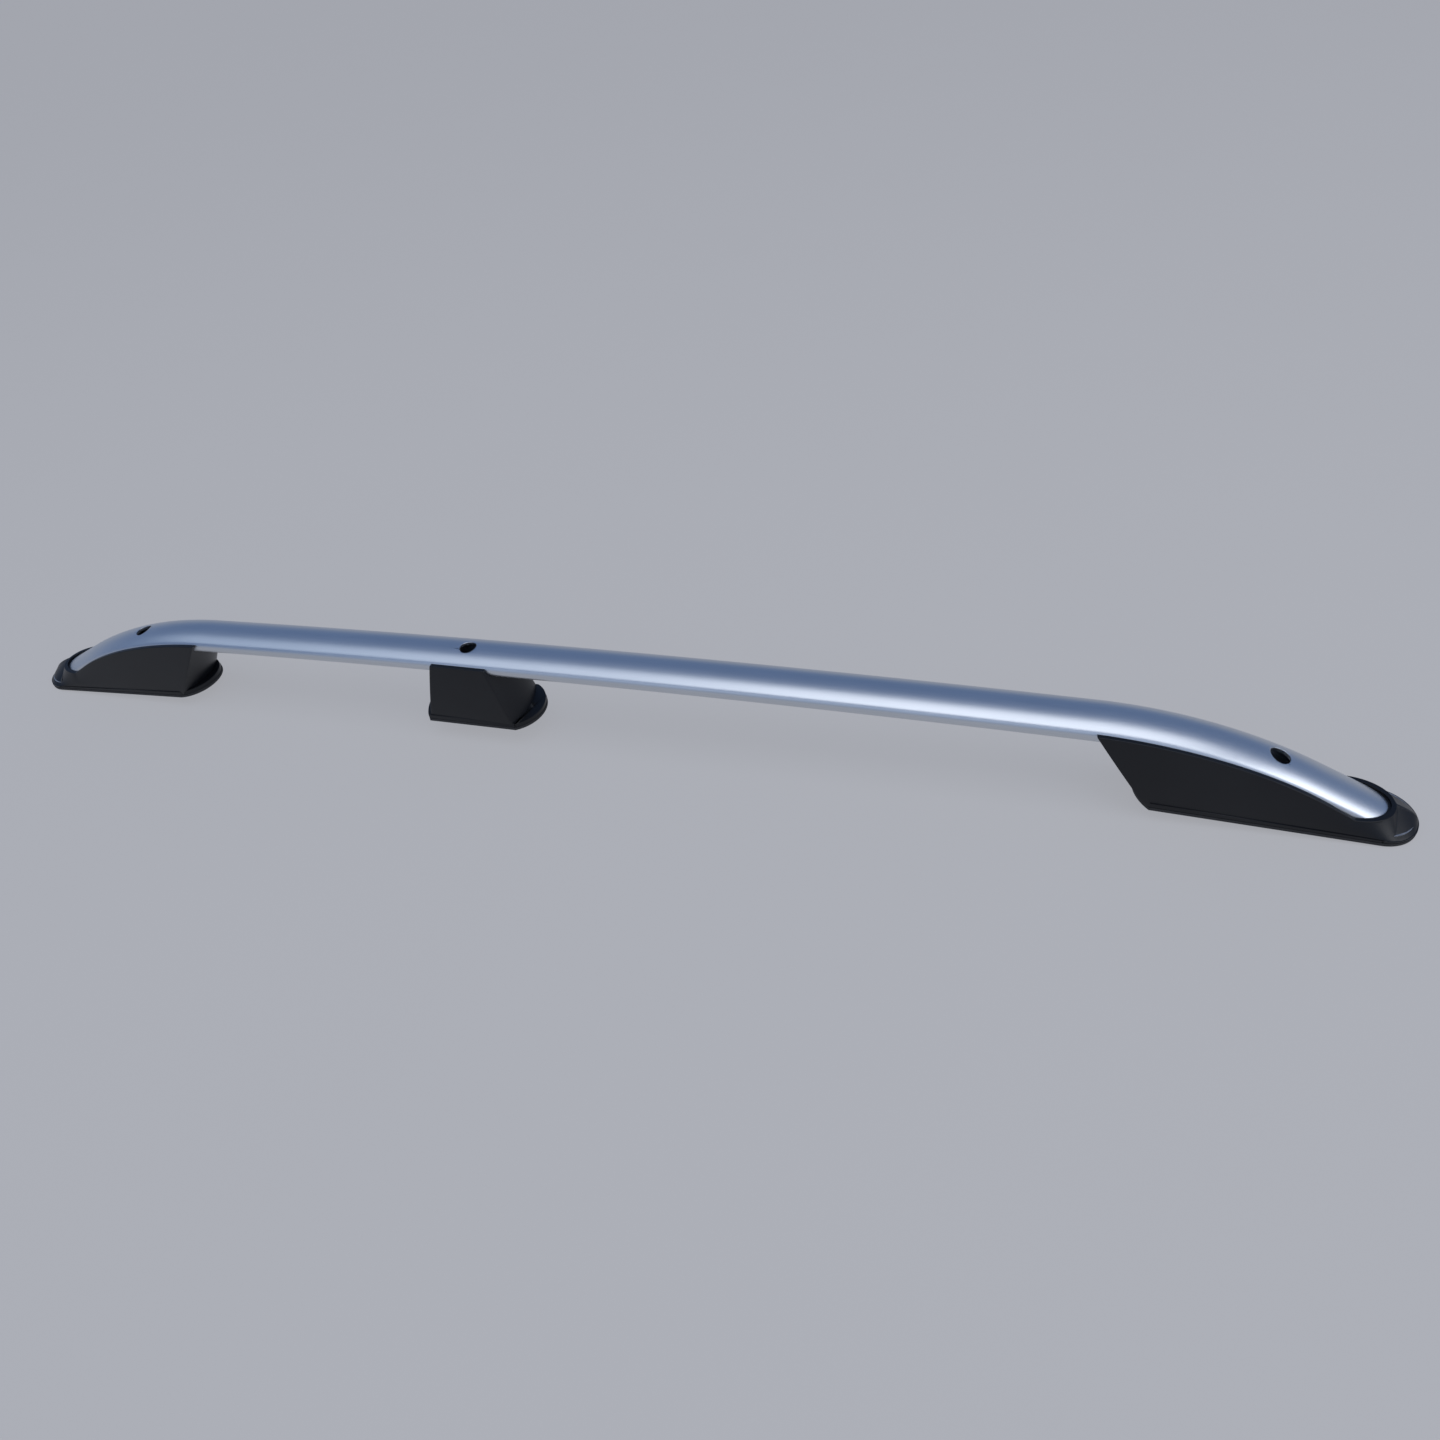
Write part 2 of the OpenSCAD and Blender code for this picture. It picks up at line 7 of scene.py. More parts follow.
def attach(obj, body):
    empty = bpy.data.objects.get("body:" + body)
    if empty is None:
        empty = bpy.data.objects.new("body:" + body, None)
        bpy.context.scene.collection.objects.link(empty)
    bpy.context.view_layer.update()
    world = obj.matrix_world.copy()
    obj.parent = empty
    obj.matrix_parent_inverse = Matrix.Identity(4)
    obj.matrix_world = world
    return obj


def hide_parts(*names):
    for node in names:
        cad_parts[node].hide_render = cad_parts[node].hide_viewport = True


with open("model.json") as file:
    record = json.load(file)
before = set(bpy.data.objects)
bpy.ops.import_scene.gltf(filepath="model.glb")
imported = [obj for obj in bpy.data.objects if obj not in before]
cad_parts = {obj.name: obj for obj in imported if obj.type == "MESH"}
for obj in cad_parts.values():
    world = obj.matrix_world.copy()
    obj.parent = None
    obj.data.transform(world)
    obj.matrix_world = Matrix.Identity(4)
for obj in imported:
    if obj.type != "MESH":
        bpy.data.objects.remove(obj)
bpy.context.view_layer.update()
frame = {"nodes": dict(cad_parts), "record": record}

# --- camera -------------------------------------------------------------------
# A wide view down over the rail from its near side, from beside the front half and turned
# back to -X, so the foot at +X comes close and the one at -X lies far away.
lens = bpy.data.cameras.new("camera")
lens.lens = 26.5
lens.sensor_width = 36.0
camera = bpy.data.objects.new("camera", lens)
bpy.context.scene.collection.objects.link(camera)
turn, tip, lean = 0.385, 0.73, 0.159
look = Vector((-sin(turn) * cos(tip), cos(turn) * cos(tip), -sin(tip)))
level = Vector((cos(turn), sin(turn), 0.0))
up = level.cross(look)
right = level * cos(lean) - up * sin(lean)
up = level * sin(lean) + up * cos(lean)
camera.matrix_world = Matrix((
    (right.x, up.x, -look.x, 0.42724),
    (right.y, up.y, -look.y, -0.74520),
    (right.z, up.z, -look.z, 0.75619),
    (0, 0, 0, 1)))
bpy.context.scene.camera = camera
bpy.context.scene.view_settings.view_transform = "Standard"


class Wire:
    """One socket of a material; sums and products of wires add its Math nodes."""

    def __init__(self, tree, socket=None):
        self.tree = tree
        self.socket = socket

    def node(self, kind, settings=(), values=(), out=0):
        made = self.tree.nodes.new("ShaderNode" + kind)
        for name, value in dict(settings).items():
            if name == "stops":
                ramp = made.color_ramp.elements
                while len(ramp) < len(value):
                    ramp.new(0.5)
                for stop, (place, colour) in zip(ramp, value):
                    stop.position = place
                    stop.color = colour
            else:
                setattr(made, name, value)
        for name, value in dict(values).items():
            if isinstance(value, Wire):
                self.tree.links.new(value.socket, made.inputs[name])
            else:
                made.inputs[name].default_value = value
        return Wire(self.tree, made.outputs[out] if made.outputs else None)

    def maths(self, operation, first, second=0.0):
        return self.node("Math", {"operation": operation}, {0: first, 1: second})

    def __add__(self, other):
        return self.maths("ADD", self, other)

    def __mul__(self, other):
        return self.maths("MULTIPLY", self, other)


def new_finish(name):
    """An empty material, and a wire that starts its nodes."""
    finish = bpy.data.materials.new(name)
    finish.use_nodes = True
    finish.node_tree.nodes.clear()
    return finish, Wire(finish.node_tree)


# --- floor, backdrop and lamps --------------------------------------------------
# A plain pale sweep under and behind the rail, lit by wide soft lamps. The camera sees it
# mostly as one even colour, with a faint share of its shading and of the rail's shadow.
backdrop = (0.440, 0.447, 0.478, 1)
evenness = 0.8
floor_size, floor_drop = 60, 0.0005
bpy.ops.object.select_all(action="DESELECT")
bpy.ops.mesh.primitive_plane_add(size=floor_size, location=(0, 0, -floor_drop))
floor = bpy.context.object
floor.name = "floor"
paper, wire = new_finish("pale_floor")
place = wire.node("TexCoord", out=3)
mottle = wire.node("TexNoise", values={"Vector": place, "Scale": 3.0, "Detail": 3.0})
tone = wire.node("ValToRGB", {"stops": [(0.3, (0.50, 0.51, 0.54, 1)), (0.7, (0.52, 0.53, 0.56, 1))]},
                 {"Fac": mottle})
matt = wire.node("BsdfPrincipled", values={"Base Color": tone, "Roughness": 0.9, "Specular IOR Level": 0.2})
seen = wire.node("LightPath")
glossy = wire.node("LightPath", out=4)
passed = wire.node("LightPath", out=5)
plain = wire.node("Emission", values={"Color": backdrop, "Strength": 1.0})
share = wire.maths("MINIMUM", (seen + glossy + passed) * evenness, evenness)
even = wire.node("MixShader", values={0: share, 1: matt, 2: plain})
wire.node("OutputMaterial", values={"Surface": even})
floor.data.materials.append(paper)

world = bpy.data.worlds.new("studio")
bpy.context.scene.world = world
world.use_nodes = True
world.node_tree.nodes.clear()
wire = Wire(world.node_tree)
ray = wire.node("TexCoord", out=0)
height = wire.node("SeparateXYZ", values={"Vector": ray}, out=2)
sky = wire.node("ValToRGB", {"stops": [(0.0, (0.50, 0.52, 0.56, 1)), (0.5, (0.42, 0.46, 0.54, 1)),
                                       (0.62, (0.14, 0.22, 0.40, 1)), (1.0, (0.13, 0.20, 0.36, 1))]},
                {"Fac": height * 0.5 + 0.5})
glow = wire.node("Background", values={"Color": sky, "Strength": 0.9})
wire.node("OutputWorld", values={"Surface": glow})


def soft_lamp(name, place, aim, size, power, colour=(1, 1, 1)):
    lamp = bpy.data.lights.new(name, "AREA")
    lamp.shape = "RECTANGLE"
    lamp.size, lamp.size_y = size
    lamp.energy = power
    lamp.color = colour
    holder = bpy.data.objects.new(name, lamp)
    bpy.context.scene.collection.objects.link(holder)
    holder.location = place
    holder.rotation_euler = (Vector(aim) - Vector(place)).to_track_quat("-Z", "Y").to_euler()
    return holder


# lamps in a row over the near side, which the tube mirrors as one band that grows brighter
# to +X, one beyond the front end for the bend there, and a wide weak one far out in front
soft_lamp("bend_box", (3.9, -1.1, 2.0), (0.62, 0, 0.06), (2.6, 2.2), 42)
soft_lamp("front_box", (0.9, -0.75, 2.8), (0.9, -0.75, 0), (3.0, 2.3), 30)
soft_lamp("middle_box", (-1.4, -0.75, 2.8), (-1.4, -0.75, 0), (1.6, 2.3), 9, (0.92, 0.96, 1.0))
soft_lamp("rear_box", (-3.4, -0.75, 2.8), (-3.4, -0.75, 0), (2.4, 2.3), 8, (0.80, 0.90, 1.0))
soft_lamp("near_fill", (0.3, -3.4, 1.9), (0.2, 0, 0.06), (7.0, 2.0), 17, (0.9, 0.95, 1.0))


# --- rail tube ------------------------------------------------------------------
# The load carrier: one aluminium tube drawn to a flat oval, stretched to a slight
# arch, bent down at both ends, cut level with the feet there, brushed along its
# length and anodised. A hole over each foot lets the bolt and its socket in.
tube_w, tube_h, tube_wall, side_r = 0.048, 0.025, 0.003, 0.008
arch_r, arch_turn = 16.3, 0.482 / 16.3
bend_r, bend_turn = 0.441, radians(27.2)
base_tilt, foot_x, foot_len = radians(3.3), 0.537, 0.2215
lift = foot_len * sin(base_tilt)
axis_z = lift + 0.0796
end_cut = {"rear": 0.0213, "front": 0.0173}
mid_x, mid_base, mid_len = -0.146, lift + 0.0095, 0.103
bolts = {"rear": 0.036, "middle": 0.0033, "front": 0.0965}
access_d, bolt_d, hole_round = 0.018, 0.009, 0.0005
bend_cx = (arch_r - bend_r) * sin(arch_turn)
bend_cz = axis_z - arch_r + (arch_r - bend_r) * cos(arch_turn)
run_x = bend_cx + bend_r * sin(bend_turn)
run_z = bend_cz + bend_r * cos(bend_turn)
side_c = tube_w / 2 - side_r
top_r = (side_c ** 2 + (tube_h / 2) ** 2 - side_r ** 2) / (2 * (tube_h / 2 - side_r))
top_c = top_r - tube_h / 2


def axis_at(x):
    """Height and slope of the tube's axis at a place along the rail."""
    x = abs(x)
    if x < arch_r * sin(arch_turn):
        return axis_z - arch_r + sqrt(arch_r ** 2 - x * x), asin(x / arch_r)
    if x < run_x:
        return bend_cz + sqrt(bend_r ** 2 - (x - bend_cx) ** 2), asin((x - bend_cx) / bend_r)
    return run_z - (x - run_x) * tan(bend_turn), bend_turn


def foot_frame(name):
    """Turns a foot's own frame, with its base at height 0, into the rail's."""
    if name == "middle":
        return Matrix.Translation((mid_x, 0, mid_base))
    front = Matrix.Translation((foot_x, 0, lift)) @ Matrix.Rotation(base_tilt, 4, "Y")
    return Matrix.Diagonal((-1, 1, 1, 1)) @ front if name == "rear" else front


def oval(grow, arc=30, side=18):
    """Points of the tube's section, grown by that much: height over the axis and side."""
    r, t, lean = side_r + grow, top_r + grow, atan2(side_c, top_c)
    upper = [lean * (2 * k / arc - 1) for k in range(arc)]
    flank = [lean + (pi - 2 * lean) * k / side for k in range(side)]
    return ([(t * cos(a) - top_c, t * sin(a)) for a in upper]
            + [(r * cos(a), side_c + r * sin(a)) for a in flank]
            + [(top_c - t * cos(a), -t * sin(a)) for a in upper]
            + [(-r * cos(a), -side_c - r * sin(a)) for a in flank])


def apply_modifier(kind, **settings):
    """Adds a modifier to the active piece and applies it."""
    bpy.ops.object.modifier_add(type=kind)
    added = bpy.context.object.modifiers[-1]
    for name, value in settings.items():
        setattr(added, name, value)
    bpy.ops.object.modifier_apply(modifier=added.name)


def pick(piece):
    """Makes one piece the only selected and active one."""
    bpy.ops.object.select_all(action="DESELECT")
    piece.select_set(True)
    bpy.context.view_layer.objects.active = piece


def half_run(name, grow, arch_steps=48, bend_steps=60, tail_steps=5, tail_step=0.02):
    """Front half of the run as an open tube: an oval spun through arch and bend, then led straight on."""
    bpy.ops.object.select_all(action="DESELECT")
    outline = oval(grow)
    bpy.ops.mesh.primitive_circle_add(vertices=len(outline), radius=tube_w / 2)
    half = bpy.context.object
    half.name = name
    for corner, (high, side) in zip(half.data.vertices, outline):
        corner.co = (0, side, axis_z + high)
    bpy.ops.object.mode_set(mode="EDIT")
    bpy.ops.mesh.select_all(action="SELECT")
    bpy.ops.mesh.spin(steps=arch_steps, angle=-arch_turn, center=(0, 0, axis_z - arch_r), axis=(0, 1, 0))
    bpy.ops.mesh.spin(steps=bend_steps, angle=arch_turn - bend_turn, center=(bend_cx, 0, bend_cz),
                      axis=(0, 1, 0))
    for k in range(tail_steps):
        bpy.ops.mesh.extrude_region_move(TRANSFORM_OT_translate={
            "value": (tail_step * cos(bend_turn), 0, -tail_step * sin(bend_turn))})
    bpy.ops.mesh.select_all(action="SELECT")
    bpy.ops.mesh.remove_doubles(threshold=1e-6)
    bpy.ops.mesh.normals_make_consistent(inside=False)
    bpy.ops.object.mode_set(mode="OBJECT")
    return half


def tube_half(name):
    """One half of the tube, its wall grown inwards and its end cut level with the foot's base."""
    half = half_run("tube_" + name, 0.0)
    apply_modifier("SOLIDIFY", thickness=tube_wall, offset=-1, use_rim=False)
    level_cut = foot_frame("front") @ Vector((0, 0, end_cut[name]))
    bpy.ops.object.mode_set(mode="EDIT")
    bpy.ops.mesh.select_all(action="SELECT")
    bpy.ops.mesh.bisect(plane_co=level_cut, plane_no=(sin(base_tilt), 0, cos(base_tilt)), clear_inner=True)
    bpy.ops.mesh.bridge_edge_loops()
    bpy.ops.object.mode_set(mode="OBJECT")
    return half


rear_half = tube_half("rear")
rear_half.data.transform(Matrix.Diagonal((-1, 1, 1, 1)))
rear_half.data.flip_normals()
tube = tube_half("front")
tube.name = "tube"
rear_half.select_set(True)
bpy.ops.object.join()
bpy.ops.object.mode_set(mode="EDIT")
bpy.ops.mesh.select_all(action="SELECT")
bpy.ops.mesh.remove_doubles(threshold=1e-5)
bpy.ops.object.mode_set(mode="OBJECT")


def bolt_line(name):
    """The bolt's axis over a foot: its frame, and the tube's height on it."""
    frame_of = foot_frame(name) @ Matrix.Translation((bolts[name], 0, 0))
    high = 0.06
    for k in range(8):
        spot = frame_of @ Vector((0, 0, high))
        high += axis_at(spot.x)[0] - spot.z
    return frame_of, high


def drill(piece, name, across, bottom, top, sides=72):
    """Takes a round hole out of a piece along a foot's bolt."""
    line, high = bolt_line(name)
    bpy.ops.object.select_all(action="DESELECT")
    bpy.ops.mesh.primitive_cylinder_add(vertices=sides, radius=across / 2, depth=top - bottom)
    bit = bpy.context.object
    bit.data.transform(line @ Matrix.Translation((0, 0, high + (top + bottom) / 2)))
    if name == "rear":
        bit.data.flip_normals()
    pick(piece)
    apply_modifier("BOOLEAN", operation="DIFFERENCE", solver="EXACT", object=bit)
    bpy.data.objects.remove(bit)


for name in bolts:
    drill(tube, name, access_d, 0.0, 0.04)
    drill(tube, name, bolt_d, -0.03, 0.0, sides=48)

# the access holes' outer edges are broken by a small round
bpy.context.tool_settings.mesh_select_mode = (False, True, False)
bpy.ops.object.mode_set(mode="EDIT")
bpy.ops.mesh.select_all(action="DESELECT")
bpy.ops.object.mode_set(mode="OBJECT")
for name in bolts:
    line, high = bolt_line(name)
    back = line.inverted()
    for edge in tube.data.edges:
        ends = [back @ tube.data.vertices[v].co for v in edge.vertices]
        if all(abs(sqrt(p.x ** 2 + p.y ** 2) - access_d / 2) < 2e-5 and p.z > high + 0.0085 for p in ends):
            edge.select = True
bpy.ops.object.mode_set(mode="EDIT")
bpy.ops.mesh.bevel(offset=hole_round, segments=3, affect="EDGES")
bpy.ops.object.mode_set(mode="OBJECT")
bpy.ops.object.shade_smooth_by_angle(angle=radians(35))

anodised, wire = new_finish("brushed_anodised_aluminium")
place = wire.node("TexCoord", out=3)
along = wire.node("Mapping", values={"Vector": place, "Scale": (6.0, 900.0, 900.0)})
lines = wire.node("TexNoise", values={"Vector": along, "Scale": 1.0, "Detail": 3.0})
cloud = wire.node("TexNoise", values={"Vector": place, "Scale": 9.0, "Detail": 2.0})
silver = wire.node("ValToRGB", {"stops": [(0.3, (0.59, 0.62, 0.66, 1)), (0.7, (0.64, 0.67, 0.71, 1))]},
                   {"Fac": lines * 0.6 + cloud * 0.4})
dents = wire.node("Bump", values={"Height": lines, "Strength": 0.06, "Distance": 0.0002})
metal = wire.node("BsdfPrincipled", values={"Base Color": silver, "Metallic": 1.0,
                                            "Roughness": lines * 0.05 + 0.33, "Normal": dents})
wire.node("OutputMaterial", values={"Surface": metal})
tube.data.materials.clear()
tube.data.materials.append(anodised)
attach(tube, "root")
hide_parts("rail_tube")

# --- end covers -------------------------------------------------------------------
# Black moulded covers with a fine grain, one on each end foot: hollow from below, with
# two lips that cradle the tube, a slanted inner face that runs out onto the base, and
# a low round nose with a pocket for the tube's cut end. The near lip is the higher one.
rim_h, gasket_t, rim_step = 0.008, 0.003, 0.0008
foot_half, cover_wall, seat_gap = 0.033, 0.003, 0.0003
body_half = foot_half - rim_step
lip_half = tube_w / 2 + seat_gap + cover_wall
lip_h, nose_lip_h, collar_h, far_drop, core_drop = 0.0043, 0.002, 0.0025, 0.0055, 0.004
end_slant = radians(37.3)
face_share, face_h, face_over, face_under = 0.45, 0.0996, 0.0005, 0.002
nose_low, nose_edge, nose_power, collar_gap, lip_from = 0.005, 0.0004, 0.55, 0.001, 0.05
least_foot, least_lip, wall_bend, nose_bend = 0.0012, 0.0006, 1.4, 0.3
lip_round, rim_round, edge_round = 0.0009, 0.0009, 0.0007
core_back, core_reach, core_step, core_under, tongue_room = 0.0503, 0.0487, 0.0006, 0.001, 0.03
pocket_h, pocket_mid, pocket_back = 0.012, 0.0069, 0.008
pocket_long, pocket_wide = 0.0087, 0.0009
bevel_turn, smooth_turn = radians(40), radians(32)
toes = {"rear": 0.028, "front": 0.015}
to_foot = foot_frame("front").inverted()
crown_end = to_foot @ Vector((run_x + tube_h / 2 * sin(bend_turn), 0, run_z + tube_h / 2 * cos(bend_turn)))
tongue = tube_h / 2 / sin(bend_turn - base_tilt)


def stretch(name):
    """Places along an end foot: where its flanks and its collar end, its nose's centre and its tip."""
    tip = crown_end.x + (crown_end.z - end_cut[name]) / tan(bend_turn - base_tilt)
    return tip - tongue, tip + cover_wall + collar_gap, foot_len - foot_half, foot_len - rim_step


def axis_over(x, lips=0.0):
    """Height of the tube's axis, or of the near lips, over an end foot's base at x along it."""
    high = 0.06
    for k in range(8):
        spot = foot_frame("front") @ Vector((x, 0, high))
        level, slope = axis_at(spot.x)
        share = max(0, min(1, (spot.x - foot_x + lip_from) / (run_x - foot_x + lip_from)))
        level += lips * (lip_h + (nose_lip_h - lip_h) * share) / cos(slope)
        high += level - spot.z
    return high


def widths(name, x):
    """An end cover's half width at its base and at its lips, at x along it."""
    flank_x, collar_x, nose_c, nose_x = stretch(name)
    foot_y = body_half if x < nose_c else sqrt(max(1e-6, body_half ** 2 - (x - nose_c) ** 2))
    taper = max(0, 1 - ((x - flank_x) / (collar_x - flank_x)) ** 2)
    lip_y = lip_half if x < flank_x else lip_half * sqrt(taper)
    return max(least_foot, foot_y), max(least_lip, lip_y if x < collar_x else 0)


def top_over(name, x, drop):
    """Height of an end cover's lips, collar and nose over its base at x."""
    flank_x, collar_x, nose_c, nose_x = stretch(name)
    if x < collar_x:
        return max(axis_over(x, 1) - drop, end_cut[name] + collar_h)
    along = min(1, (x - collar_x) / (nose_x - collar_x))
    fall = end_cut[name] + collar_h - nose_low - nose_edge
    return nose_low + nose_edge + fall * (1 - along) ** nose_power


def low_at(name, x):
    """Height at which the rim ends and the side wall begins: lower at the nose."""
    flank_x, collar_x, nose_c, nose_x = stretch(name)
    return rim_h + (nose_low - rim_h) * max(0, min(1, (x - flank_x) / (collar_x - flank_x)))


def wall_line(foot_y, lip_y, low, top, bend, flank=24, corner=6, crown=8):
    """One side of a cover's section: points (side, height) up the wall, round the lip, to the middle."""
    fillet = min(lip_round, lip_y * 0.3, (top - low) * 0.3)
    points = []
    for k in range(flank + 1):
        t = k / flank * (1 - fillet * 1.01 / (top - low))
        points.append((foot_y - (foot_y - lip_y) * t ** bend, low + (top - low) * t))
    lip = points[-1][0]
    points += [(lip - fillet + fillet * cos(pi / 2 * k / corner),
                top - fillet + fillet * sin(pi / 2 * k / corner)) for k in range(1, corner + 1)]
    return points + [((lip - fillet) * (1 - k / crown), top) for k in range(1, crown + 1)]


def ring(far, near, bottom=16):
    """A cover's whole section from its two sides, closed along the bottom."""
    wide = far[0][0]
    return ([(wide, gasket_t)] + far + [(-y, z) for y, z in reversed(near[:-1])]
            + [(wide * (2 * k / bottom - 1), gasket_t) for k in range(bottom + 1)])


def end_face(way, base, toe, reach, high):
    """Where a foot's end face lies along the foot at a side and height: an arc below, straight above."""
    half = body_half + face_over
    radius = (half ** 2 + toe ** 2) / (2 * toe)

    def place_at(side, height):
        share = (height + face_under) / (high + face_under)
        bulge = sqrt(radius ** 2 - side ** 2) - radius + toe
        return way * (base + bulge * (1 - share) + reach * share)
    return place_at


def face_cap(face, section, rings=12):
    """Rings that shrink over an end face to one point in its middle, the smallest first."""
    middle = sum(z for y, z in section) / len(section)
    shrunk = [[(y * k / rings, middle + (z - middle) * k / rings) for y, z in section] for k in range(rings)]
    return [[(face(y, z), y, z) for y, z in row] for row in shrunk]


def lofted(name, rows, size):
    """A closed solid from a row of sections with as many points each: a grid laid over them."""
    bpy.ops.object.select_all(action="DESELECT")
    bpy.ops.mesh.primitive_grid_add(x_subdivisions=len(rows[0]) - 1, y_subdivisions=len(rows) - 1, size=size)
    body = bpy.context.object
    body.name = name
    for corner, spot in zip(body.data.vertices, [p for row in rows for p in row]):
        corner.co = spot
    bpy.ops.object.mode_set(mode="EDIT")
    bpy.ops.mesh.select_all(action="SELECT")
    bpy.ops.mesh.remove_doubles(threshold=2e-6)
    bpy.ops.mesh.fill_holes(sides=0)
    bpy.ops.object.mode_set(mode="OBJECT")
    return body


def cut_by(piece, cutter):
    """Cuts one closed solid out of another and throws the cutter away."""
    for solid in (cutter, piece):
        pick(solid)
        bpy.ops.object.mode_set(mode="EDIT")
        bpy.ops.mesh.select_all(action="SELECT")
        bpy.ops.mesh.quads_convert_to_tris()
        bpy.ops.object.mode_set(mode="OBJECT")
    apply_modifier("BOOLEAN", operation="DIFFERENCE", solver="EXACT", object=cutter)
    bpy.data.objects.remove(cutter)


def pushed_up(name, outline, upper):
    """A solid from an outline pushed up, each corner of it to a place of its own."""
    bpy.ops.object.select_all(action="DESELECT")
    bpy.ops.mesh.primitive_circle_add(vertices=len(outline), radius=foot_half, fill_type="NGON")
    block = bpy.context.object
    block.name = name
    for corner, spot in zip(block.data.vertices, outline):
        corner.co = spot
    bpy.ops.object.mode_set(mode="EDIT")
    bpy.ops.mesh.select_all(action="SELECT")
    bpy.ops.mesh.extrude_region_move(TRANSFORM_OT_translate={"value": (0, 0, 0.01)})
    bpy.ops.object.mode_set(mode="OBJECT")
    raised = [v for v in block.data.vertices if v.select]
    for corner, spot in zip(raised, upper):
        corner.co = spot
    bpy.ops.object.mode_set(mode="EDIT")
    bpy.ops.mesh.select_all(action="SELECT")
    bpy.ops.mesh.normals_make_consistent(inside=False)
    bpy.ops.object.mode_set(mode="OBJECT")
    return block


def arc_line(toe, half, steps=32):
    """Shallow arc across a foot's end: points (bulge, side) from one edge to the other."""
    radius = (half ** 2 + toe ** 2) / (2 * toe)
    spread = asin(half / radius)
    turns = [spread * (2 * k / steps - 1) for k in range(steps + 1)]
    return [(radius * cos(a) - radius + toe, radius * sin(a)) for a in turns]


def tube_cutter(name):
    """The front half of the tube as a solid, grown by the seat gap and cut just under its own cut."""
    cutter = half_run("tube_cutter", seat_gap)
    low = foot_frame("front") @ Vector((0, 0, end_cut[name] - seat_gap))
    bpy.ops.object.mode_set(mode="EDIT")
    bpy.ops.mesh.fill_holes(sides=0)
    bpy.ops.mesh.select_all(action="SELECT")
    bpy.ops.mesh.bisect(plane_co=low, plane_no=(sin(base_tilt), 0, cos(base_tilt)),
                        clear_inner=True, use_fill=True)
    bpy.ops.object.mode_set(mode="OBJECT")
    cutter.data.transform(to_foot)
    return cutter


def end_rows(name):
    """Rings of an end cover's outer form, over its inner face and along to its nose."""
    flank_x, collar_x, nose_c, nose_x = stretch(name)
    face = end_face(-1, 0, toes[name] * face_share, face_h * tan(end_slant), face_h)
    first = -0.05
    for k in range(8):
        first = face(0, top_over(name, first, 0))
    places = [first + (flank_x - first) * k / 60 for k in range(60)]
    places += [flank_x + (nose_x - flank_x) * sin(pi / 2 * k / 60) for k in range(61)]
    rows = []
    for k, x in enumerate(places):
        foot_y, lip_y = widths(name, x)
        low = low_at(name, x)
        bend = wall_bend - nose_bend * max(0, min(1, (x - flank_x) / (collar_x - flank_x)))
        far, near = [wall_line(foot_y, lip_y, low, max(low + nose_edge, top_over(name, x, drop)), bend)
                     for drop in (far_drop, 0)]
        section = ring(far, near)
        if k == 0:
            rows = face_cap(face, section)
        lean = max(0, 1 - k / 60)
        rows.append([(x + (face(y, z) - first) * lean, y, z) for y, z in section])
    return rows


def core_section(wide, line):
    """A hollow's section from the line up its far side, mirrored and closed under the base."""
    return ([(wide, -core_under)] + line + [(-y, z) for y, z in reversed(line)]
            + [(-wide, -core_under), (wide, -core_under)])


def core_rows(name):
    """Sections of the hollow under an end cover: open below, up to under the tube."""
    flank_x, collar_x, nose_c, nose_x = stretch(name)
    rows = []
    for k in range(41):
        x = -core_back + (nose_c + core_reach) * k / 40
        foot_y, lip_y = widths(name, x)
        top = top_over(name, x, 0)
        under_pocket = end_cut[name] - seat_gap - cover_wall
        high = axis_over(x) - core_drop if x < flank_x - tongue_room else under_pocket
        foot_y -= cover_wall
        line = []
        for j in range(6):
            z = rim_h + core_step + (high - rim_h - core_step) * j / 5
            share = ((z - rim_h) / (top - rim_h)) ** wall_bend
            line.append((foot_y - (foot_y + cover_wall - lip_y) * share, z))
        rows.append([(x, y, z) for y, z in core_section(foot_y, line)])
    return rows


def rim_ring(name, outline, height_at):
    """The rim round a foot's base: an outline pushed up and its edges rounded."""
    rim = pushed_up(name, [(x, y, gasket_t) for x, y in outline], [(x, y, height_at(x)) for x, y in outline])
    apply_modifier("BEVEL", width=rim_round, segments=4, limit_method="ANGLE", angle_limit=bevel_turn)
    bpy.ops.object.shade_smooth_by_angle(angle=smooth_turn)
    return rim


def end_outline(name, grow=0.0):
    """Plan of an end foot's base: a round nose, straight sides and a shallow arc at the inner end."""
    half, centre = foot_half + grow, foot_len - foot_half
    nose = [(centre + half * sin(pi * k / 48), -half * cos(pi * k / 48)) for k in range(49)]
    return nose + [(-bulge, side) for bulge, side in reversed(arc_line(toes[name] + grow, half))]


black, wire = new_finish("grained_black_moulding")
place = wire.node("TexCoord", out=3)
grain = wire.node("TexNoise", values={"Vector": place, "Scale": 900.0, "Detail": 2.0, "Roughness": 0.6})
cells = wire.node("TexVoronoi", {"feature": "F1"}, {"Vector": place, "Scale": 1400.0})
cloud = wire.node("TexNoise", values={"Vector": place, "Scale": 14.0, "Detail": 3.0})
soot = wire.node("ValToRGB", {"stops": [(0.35, (0.005, 0.0056, 0.0075, 1)),
                                        (0.65, (0.007, 0.0078, 0.010, 1))]}, {"Fac": cloud})
skin = wire.node("Bump", values={"Height": grain * 0.6 + cells * 0.4, "Strength": 0.25, "Distance": 0.0002})
plastic = wire.node("BsdfPrincipled", values={"Base Color": soot, "Roughness": grain * 0.12 + 0.3,
                                              "Normal": skin, "Specular IOR Level": 0.3})
wire.node("OutputMaterial", values={"Surface": plastic})

